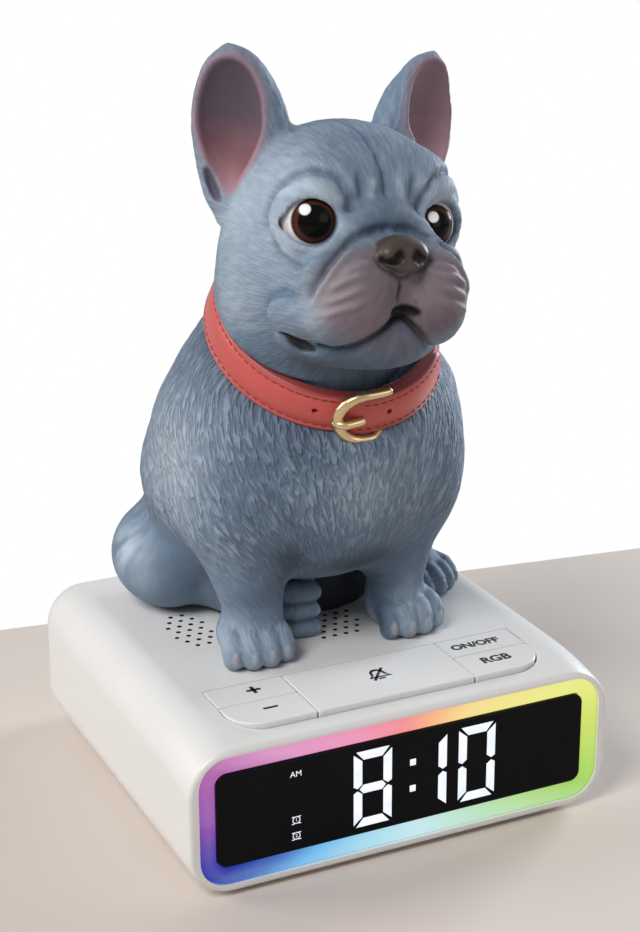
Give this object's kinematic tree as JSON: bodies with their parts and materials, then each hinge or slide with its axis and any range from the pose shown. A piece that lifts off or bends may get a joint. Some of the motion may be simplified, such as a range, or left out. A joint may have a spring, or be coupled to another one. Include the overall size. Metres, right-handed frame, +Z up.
{
  "type": "digital alarm clock",
  "caption": "White tabletop digital alarm clock with a black lit display, a rim light and top keys, carrying a seated dog figure with a buckled red collar.",
  "frame": {"origin": "on the table, under the middle of the case", "axes": "+Z up, the display looks along -Y, +X to the right of someone who reads the display"},
  "size_m": [0.112, 0.11, 0.1886],
  "materials": {
    "case_white": "fine satin moulding",
    "key_white": "satin with printed black marks",
    "light_rim": "milky and lit from behind in rainbow colours",
    "window_black": "smoked and polished",
    "black_plastic": "matt",
    "circuit_board": "solder mask",
    "steel": "plain",
    "foot_rubber": "matt",
    "figure_paint": "blue-grey paint over moulded fur strokes",
    "eye_gloss": "lacquered",
    "collar_red": "smooth with a stitched edge",
    "buckle_brass": "satin"
  },
  "bodies": {
    "base": {"upper_case": "case_white", "bottom_cover": "case_white", "light_frame": "light_rim", "light_board": "circuit_board", "display_window": "window_black", "digit_block": "black_plastic", "display_board": "circuit_board", "plus_switch": "black_plastic", "minus_switch": "black_plastic", "snooze_switch": "black_plastic", "power_switch": "black_plastic", "rgb_switch": "black_plastic", "key_board": "circuit_board", "speaker_frame": "black_plastic", "speaker_cone": "black_plastic", "speaker_magnet": "steel", "cover_screw_1": "steel", "cover_screw_2": "steel", "cover_screw_3": "steel", "cover_screw_4": "steel", "rubber_foot_1": "foot_rubber", "rubber_foot_2": "foot_rubber", "rubber_foot_3": "foot_rubber", "rubber_foot_4": "foot_rubber", "coin_cell": "steel", "battery_contact": "steel", "main_board": "circuit_board", "power_socket": "steel", "figure_body": "figure_paint", "figure_head": "figure_paint", "figure_screw_1": "steel", "figure_screw_2": "steel", "figure_screw_3": "steel", "figure_screw_4": "steel", "eye_left": "eye_gloss", "eye_right": "eye_gloss", "collar_strap": "collar_red", "buckle_frame": "buckle_brass", "buckle_prong": "buckle_brass"},
    "plus": {"plus_key": "key_white", "plus_plunger": "black_plastic"},
    "minus": {"minus_key": "key_white", "minus_plunger": "black_plastic"},
    "snooze": {"snooze_key": "key_white", "snooze_plunger": "black_plastic"},
    "power": {"power_key": "key_white", "power_plunger": "black_plastic"},
    "rgb": {"rgb_key": "key_white", "rgb_plunger": "black_plastic"},
    "cap": {"battery_cap": "case_white"}
  },
  "joints": [
    {"name": "plus_press", "type": "slide", "parent": "base", "child": "plus", "axis": [0, 0, -1], "range_m": [0, 0.0007], "stiffness_N_per_m": 400, "springref_m": -0.001},
    {"name": "minus_press", "type": "slide", "parent": "base", "child": "minus", "axis": [0, 0, -1], "range_m": [0, 0.0007], "stiffness_N_per_m": 400, "springref_m": -0.001},
    {"name": "snooze_press", "type": "slide", "parent": "base", "child": "snooze", "axis": [0, 0, -1], "range_m": [0, 0.0007], "stiffness_N_per_m": 400, "springref_m": -0.001},
    {"name": "power_press", "type": "slide", "parent": "base", "child": "power", "axis": [0, 0, -1], "range_m": [0, 0.0007], "stiffness_N_per_m": 400, "springref_m": -0.001},
    {"name": "rgb_press", "type": "slide", "parent": "base", "child": "rgb", "axis": [0, 0, -1], "range_m": [0, 0.0007], "stiffness_N_per_m": 400, "springref_m": -0.001},
    {"name": "battery_cap_turn", "type": "hinge", "parent": "base", "child": "cap", "pos_m": [0, 0.02, 0.0022], "axis": [0, 0, 1], "range_deg": [0, 90]}
  ]
}
